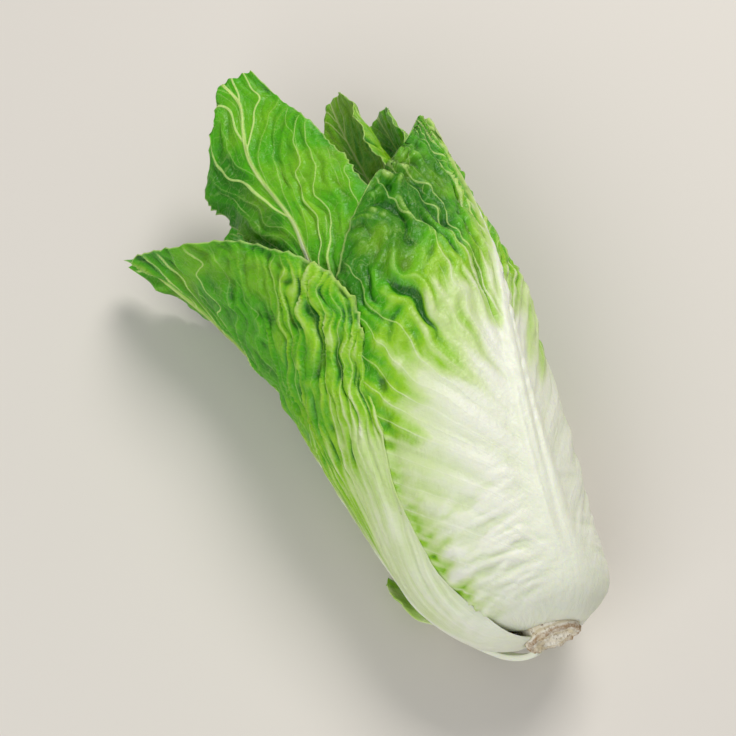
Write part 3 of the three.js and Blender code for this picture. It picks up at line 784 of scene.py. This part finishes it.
class Nodes:
    """Short calls for making a material's nodes."""

    def __init__(self, name):
        self.material = bpy.data.materials.new(name)
        self.material.use_nodes = True
        self.tree = self.material.node_tree
        self.tree.nodes.clear()

    def node(self, kind, inputs=None, **settings):
        """Adds a node with its inputs, by name or number, and returns its outputs."""
        made = self.tree.nodes.new(kind)
        for key, value in settings.items():
            setattr(made, key, value)
        for key, value in (inputs or {}).items():
            if isinstance(value, bpy.types.NodeSocket):
                self.tree.links.new(value, made.inputs[key])
            else:
                made.inputs[key].default_value = value
        return made.outputs

    def attribute(self, name, output="Fac"):
        return self.node("ShaderNodeAttribute", attribute_name=name)[output]

    def maths(self, operation, *values):
        return self.node("ShaderNodeMath", dict(enumerate(values)), operation=operation)[0]

    def add(self, a, b):
        return self.maths("ADD", a, b)

    def times(self, a, b):
        return self.maths("MULTIPLY", a, b)

    def vector_maths(self, operation, *values):
        return self.node("ShaderNodeVectorMath", dict(enumerate(values)), operation=operation)[0]

    def span(self, value, low, high, to_low=0.0, to_high=1.0, kind="SMOOTHSTEP"):
        """Takes the range from low to high to another range, and stays level beyond it."""
        inputs = dict(enumerate((value, low, high, to_low, to_high)))
        return self.node("ShaderNodeMapRange", inputs, interpolation_type=kind, clamp=True)[0]

    def mix(self, share, a, b):
        return self.node("ShaderNodeMix", {0: share, 6: a, 7: b}, data_type="RGBA")[2]

    def noise(self, place, scale, detail=2.0, roughness=0.5, output="Fac"):
        inputs = {"Vector": place, "Scale": scale, "Detail": detail, "Roughness": roughness}
        return self.node("ShaderNodeTexNoise", inputs)[output]

    def parts(self, vector):
        return tuple(self.node("ShaderNodeSeparateXYZ", {0: vector}))

    def chance(self, number, layer):
        """A random number from 0 to 1 for each whole number in each layer."""
        inputs = {"Vector": self.node("ShaderNodeCombineXYZ", {0: number, 1: layer})[0]}
        return self.node("ShaderNodeTexWhiteNoise", inputs, noise_dimensions="2D")["Value"]

    def vein_lines(self, way, gap, share):
        """Pale lines where the field is a whole number: the strong ones reach the margin."""
        phase, length, layer = self.parts(way)
        number = self.maths("ROUND", phase)
        off = self.maths("ABSOLUTE", self.maths("SUBTRACT", phase, number))
        strong = self.maths("LESS_THAN", self.chance(number, layer), share)
        faint = self.span(length, 0.4, 2.2, 0.26, 0.04)
        strength = self.span(length, 0.2, 3.2, 1.0, 0.5)
        strength = self.add(faint, self.times(strong, self.maths("SUBTRACT", strength, faint)))
        width = self.maths("MULTIPLY_ADD", strength, 0.32, 0.12)
        line = self.maths("DIVIDE", self.times(off, gap), width)
        return self.times(strength, self.span(line, 0.45, 1.25, 1.0, 0.0)), off

    def bump(self, height, strength, distance):
        inputs = {"Strength": strength, "Distance": distance, "Height": height}
        return self.node("ShaderNodeBump", inputs)["Normal"]

    def surface(self, inputs):
        """Ends the material with a shader."""
        shader = self.node("ShaderNodeBsdfPrincipled", inputs)[0]
        self.node("ShaderNodeOutputMaterial", {"Surface": shader})


def colour(r, g, b):
    """A colour as it is seen on screen, from 0 to 255, as Blender's linear values."""
    def linear(c):
        c = c / 255
        return c / 12.92 if c <= 0.04045 else ((c + 0.055) / 1.055) ** 2.4
    return (linear(r), linear(g), linear(b), 1.0)


WHITE = colour(233, 235, 216)
WHITE_SHADE = colour(212, 221, 184)
PALE_GREEN = colour(202, 220, 152)
YELLOW_GREEN = colour(148, 199, 36)
BRIGHT_GREEN = colour(77, 169, 6)
# The deepest green: partly the leaf's own, and partly painted shade in hollows and on the shaded
# left side.
DEEP_GREEN_AND_SHADE = colour(20, 93, 4)
VEIN = colour(200, 226, 134)
# The greens a blade goes through, with the level of green where each starts and is full.
GREENS = ((0.02, 0.24, PALE_GREEN), (0.15, 0.52, YELLOW_GREEN), (0.42, 0.86, BRIGHT_GREEN))

CUT_CREAM = colour(244, 238, 222)
CUT_SHADE = colour(218, 200, 158)
CUT_SPECKS = colour(132, 96, 56)
CUT_RING = colour(206, 186, 138)
CUT_EDGE = colour(160, 124, 80)


def vein_nodes(n):
    """The pale side veins and their branches."""
    vein, n.off_vein = n.vein_lines(n.way, n.gap, n.share)
    branch, _ = n.vein_lines(n.attribute("branch_way", "Vector"), n.attribute("branch_gap"), 0.2)
    branch = n.times(branch, n.span(n.noise(n.place, 0.07, 2.0), 0.42, 0.6, 0.0, 0.75))
    vein = n.times(n.maths("MAXIMUM", vein, branch), n.span(n.outwards, 0.86, 1.0, 1.0, 0.0))
    vein = n.times(vein, n.span(n.midrib, 0.3, 0.8, 1.0, 0.0))
    return n.times(vein, n.span(n.green, 0.2, 0.5, 0.25, 1.0))


def net_nodes(n):
    """The net of small veins, in crooked cells a few millimetres wide."""
    away = n.noise(n.place, 0.3, output="Color")
    crooked = n.vector_maths("MULTIPLY_ADD", away, (5.0, 5.0, 0.0), n.place)
    inputs = {"Vector": crooked, "Scale": 0.2}
    border = n.node("ShaderNodeTexVoronoi", inputs, feature="DISTANCE_TO_EDGE")["Distance"]
    return n.times(n.span(border, 0.0, 0.05, 1.0, 0.0), n.span(n.green, 0.3, 0.8))


def level_nodes(n):
    """How green the blade is, once its green is made uneven."""
    uneven = n.times(n.add(n.patch, -0.5), 0.5)
    for pattern, strength in ((n.fibre, 0.3), (n.fine, 0.12)):
        uneven = n.add(uneven, n.times(n.add(pattern, -0.5), strength))
    # The green runs down between the side veins and stays off the crests. Where the blade is
    # almost white it is even.
    between = n.span(n.off_vein, 0.0, 0.4, -0.24, 0.1)
    between = n.times(between, n.span(n.patch, 0.38, 0.62, 0.15, 1.0))
    between = n.times(between, n.span(n.green, 0.5, 0.9, 1.0, 0.35))
    between = n.times(between, n.span(n.green, 0.14, 0.4, 0.1, 1.0))
    uneven = n.add(uneven, between)
    # Painted shade and highlight: greener in the skin's hollows, less green on its crests.
    uneven = n.add(uneven, n.span(n.height, -1.6, 1.6, 0.18, -0.18, "LINEAR"))
    return n.add(n.green, n.times(uneven, n.span(n.green, 0.05, 0.5, 0.15, 1.0)))


def blade_nodes(n, level):
    """The blade's colour between its veins."""
    # White ribs, tinted green along the fibres, with painted shade in the same tint in the
    # hollows between them.
    hollow = n.span(n.add(n.times(n.fibre, 0.4), n.times(n.height, -0.8)), 0.0, 0.7)
    base = n.mix(n.times(hollow, 0.75), WHITE, WHITE_SHADE)
    for low, high, green in GREENS:
        base = n.mix(n.span(level, low, high), base, green)
    # Painted shade: deep green in the skin's hollows. Where the level runs past full the deep
    # green is partly the leaf's own and partly painted shade.
    sunk = n.times(n.span(n.height, 0.1, -1.2), n.span(level, 0.35, 0.8, 0.0, 0.95))
    deep = n.maths("MAXIMUM", n.times(n.span(level, 0.8, 1.2), 0.65), sunk)
    base = n.mix(deep, base, DEEP_GREEN_AND_SHADE)
    # Painted highlight: the crests are lightened towards yellow green. The young patches are the
    # leaf's own lighter green.
    crest = n.times(n.span(n.height, 0.2, 2.4), 0.3)
    young = n.span(n.noise(n.place, 0.028, 3.0, 0.55), 0.47, 0.68, 0.0, 0.42)
    highlight_and_young = n.times(n.maths("MAXIMUM", crest, young), n.span(level, 0.3, 0.7))
    return n.mix(highlight_and_young, base, YELLOW_GREEN)


def leaf_material(slot_name, pale):
    """Fresh leaf: white ribs at the foot, pale to bright green above, with pale veins."""
    n = Nodes(slot_name)
    n.place = n.attribute("leaf_mm", "Vector")
    n.way = n.attribute("vein_way", "Vector")
    n.gap, n.share, n.outwards = n.parts(n.attribute("vein_size", "Vector"))
    n.green = n.attribute("green")
    n.midrib = n.attribute("midrib")
    n.height = n.attribute("height")
    n.patch = n.noise(n.place, 0.05, 4.0, 0.6)
    n.fine = n.noise(n.place, 0.55, 3.0, 0.6)
    # Fibres follow the side veins, and run lengthways in the midrib.
    along_veins = n.vector_maths("MULTIPLY", n.way, (2.4, 1.0, 1.0))
    along_rib = n.vector_maths("MULTIPLY", n.place, (0.5, 0.012, 1.0))
    fibre, lengthways = (n.noise(place, 1.0, 3.0, 0.6) for place in (along_veins, along_rib))
    n.fibre = n.add(fibre, n.times(n.midrib, n.maths("SUBTRACT", lengthways, fibre)))

    vein = vein_nodes(n)
    net = net_nodes(n)
    base = blade_nodes(n, n.times(level_nodes(n), 1.0 - pale))
    base = n.mix(n.times(net, n.span(n.patch, 0.35, 0.65, 0.02, 0.16)), base, VEIN)
    # Pale on the tallest crests of the green blade: partly the pale veins along the folds, partly
    # painted highlight.
    pale_crest_and_highlight = n.times(n.span(n.height, 1.2, 2.9, 0.0, 0.45), n.span(n.green, 0.25, 0.5))
    base = n.mix(pale_crest_and_highlight, base, VEIN)
    base = n.mix(n.times(vein, 0.9), base, n.mix(n.span(n.green, 0.1, 0.8), WHITE, VEIN))
    rib_colour = n.mix(n.span(n.green, 0.04, 0.16), WHITE, VEIN)
    base = n.mix(n.times(n.midrib, 0.85), base, rib_colour)
    rim = n.times(n.span(n.outwards, 0.975, 0.995), n.span(n.green, 0.2, 0.6, 0.0, 0.5))
    base = n.mix(rim, base, VEIN)

    grain = n.add(n.times(n.fine, 0.5), n.times(n.fibre, 0.45))
    grain = n.add(grain, n.add(n.times(net, -0.15), n.times(vein, 0.5)))
    crumple = n.times(n.noise(n.place, 0.16, 3.0, 0.55), n.span(n.green, 0.1, 0.6, 1.2, 4.0))
    n.surface({
        "Base Color": base,
        "Roughness": n.span(n.fine, 0.3, 0.7, 0.3, 0.46),
        "IOR": 1.45,
        "Specular IOR Level": 0.36,
        "Subsurface Weight": 0.3,
        "Subsurface Radius": (0.8, 1.0, 0.3),
        "Subsurface Scale": 0.0025,
        "Normal": n.bump(n.add(grain, crumple), 0.6, 0.0009),
    })
    return n.material


def stem_material():
    """The cut stem: cream, torn, with brown specks, a tan ring of vessels and a browned edge."""
    n = Nodes("cut_stem")
    place = n.node("ShaderNodeTexCoord")["Object"]
    broad = n.noise(place, 110.0, 4.0, 0.6)
    fine = n.noise(place, 480.0, 4.0, 0.65)
    base = n.mix(n.span(broad, 0.42, 0.75), CUT_CREAM, CUT_SHADE)
    base = n.mix(n.span(fine, 0.55, 0.68, 0.0, 0.85), base, CUT_SPECKS)
    uneven = n.add(n.attribute("from_centre"), n.times(n.add(broad, -0.5), 0.5))
    ring = n.times(n.span(uneven, 0.58, 0.7, 0.0, 0.55), n.span(uneven, 0.74, 0.86, 1.0, 0.0))
    base = n.mix(ring, base, CUT_RING)
    edge = n.times(n.span(uneven, 0.8, 1.02, 0.0, 0.9), n.span(fine, 0.36, 0.56, 0.35, 1.0))
    base = n.mix(edge, base, CUT_EDGE)
    bumps = n.bump(n.add(fine, n.times(broad, 0.6)), 0.7, 0.001)
    roughness = n.span(fine, 0.3, 0.7, 0.55, 0.8)
    n.surface({"Base Color": base, "Roughness": roughness, "Normal": bumps})
    return n.material


# ---- Making the pieces ----


def add_piece(mesh, node_name, slot_name, material):
    mesh.materials.append(material)
    piece = bpy.data.objects.new("skin_" + node_name, mesh)
    bpy.context.scene.collection.objects.link(piece)
    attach(piece, "root")
    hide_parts(node_name)


# How much paler each kind of leaf is than its fields say.
PALENESS = {"outer_leaf": 0.0, "inner_leaf": 0.06, "heart_leaf": 0.2}
finishes = {slot: leaf_material(slot, pale) for slot, pale in PALENESS.items()}
left_margin = margin_of(LEAVES[0])
for leaf in LEAVES + heart_leaves():
    cover = left_margin if leaf["name"] == "wrapper_leaf_front" else None
    add_piece(leaf_mesh(leaf, cover), leaf["name"], leaf["slot"], finishes[leaf["slot"]])
add_piece(stem_mesh(), "stem_core", "cut_stem", stem_material())

# ---- Floor, light and camera ----

# Lengths in metres, and the lamps in watts.
FLOOR_SIZE = 6.0
FLOOR_COLOUR = colour(218, 212, 203)
SKY = (0.95, 0.97, 1.0, 1.0)
SKY_STRENGTH = 0.32
LAMPS = (
    dict(name="key", place=(0.7, 0.6, 1.3), size=0.7, watts=15.5, tint=(1.0, 0.985, 0.96)),
    dict(name="fill", place=(-1.0, -0.8, 1.1), size=1.2, watts=13.5, tint=(0.96, 0.98, 1.0)),
)
LAMP_TARGET = (0.0, 0.0, 0.05)
VIEW_AZIMUTH = math.radians(-21.5)
VIEW_ELEVATION = math.radians(62)
VIEW_DISTANCE = 0.92
VIEW_TARGET = (0.002, -0.004, 0.045)
LENS = 94.0  # mm


def make_floor():
    bpy.ops.mesh.primitive_plane_add(size=FLOOR_SIZE, location=(0, 0, 0))
    floor = bpy.context.object
    floor.name = "floor"
    n = Nodes("floor")
    n.surface({"Base Color": FLOOR_COLOUR, "Roughness": 0.75})
    floor.data.materials.append(n.material)


def aim(made, place, target):
    """Puts a lamp or camera at a place, facing a target."""
    bpy.context.scene.collection.objects.link(made)
    made.location = place
    made.rotation_euler = (Vector(target) - Vector(place)).to_track_quat("-Z", "Y").to_euler()


def make_lamp(name, place, size, watts, tint):
    data = bpy.data.lights.new(name, "AREA")
    data.size = size
    data.energy = watts
    data.color = tint
    aim(bpy.data.objects.new(name, data), place, LAMP_TARGET)


def make_world():
    world = bpy.data.worlds.new("studio")
    bpy.context.scene.world = world
    world.use_nodes = True
    background = world.node_tree.nodes["Background"]
    background.inputs["Color"].default_value = SKY
    background.inputs["Strength"].default_value = SKY_STRENGTH


def make_camera():
    data = bpy.data.cameras.new("camera")
    data.lens = LENS
    camera = bpy.data.objects.new("camera", data)
    flat, up = math.cos(VIEW_ELEVATION), math.sin(VIEW_ELEVATION)
    back = Vector((math.sin(VIEW_AZIMUTH) * flat, -math.cos(VIEW_AZIMUTH) * flat, up))
    aim(camera, Vector(VIEW_TARGET) + back * VIEW_DISTANCE, VIEW_TARGET)
    bpy.context.scene.camera = camera


make_floor()
make_world()
for lamp in LAMPS:
    make_lamp(**lamp)
make_camera()
bpy.context.scene.view_settings.view_transform = "Standard"
